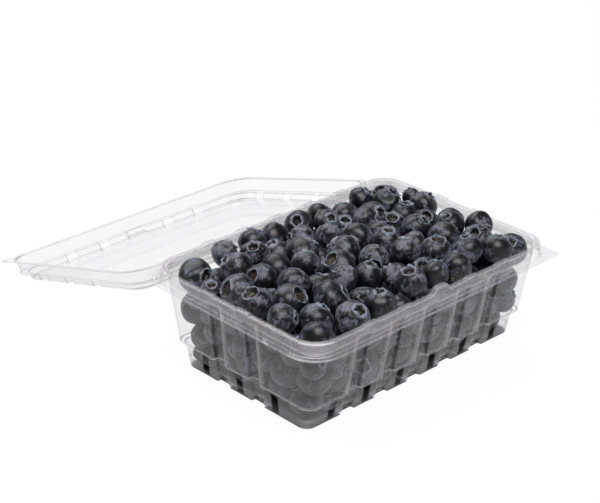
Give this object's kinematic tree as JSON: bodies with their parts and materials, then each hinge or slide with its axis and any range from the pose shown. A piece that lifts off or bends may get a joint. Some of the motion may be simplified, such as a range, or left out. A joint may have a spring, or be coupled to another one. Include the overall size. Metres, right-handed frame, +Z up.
{
  "type": "punnet of blueberries",
  "caption": "clear hinged plastic punnet heaped with blueberries, its shallow lid open and resting on the table behind it",
  "frame": {"origin": "middle of the tray's flat underside, on the table", "axes": "+X along the tray's long side, +Y towards the hinge and the open lid, -Y the front with the lift tab, +Z up"},
  "size_m": [0.1772, 0.2526, 0.0631],
  "materials": {
    "tray_plastic": "clear thermoformed sheet, glossy",
    "lid_plastic": "clear thermoformed sheet, glossy",
    "berry_skin": "dark blue skin with a waxy grey-blue bloom"
  },
  "bodies": {
    "tray": {"tray": "tray_plastic", "berries": "berry_skin"},
    "lid": {"lid": "lid_plastic"}
  },
  "joints": [
    {"name": "lid_hinge", "type": "hinge", "parent": "tray", "child": "lid", "pos_m": [0, 0.0658, 0.04725], "axis": [1, 0, 0], "range_deg": [0, 192]}
  ]
}
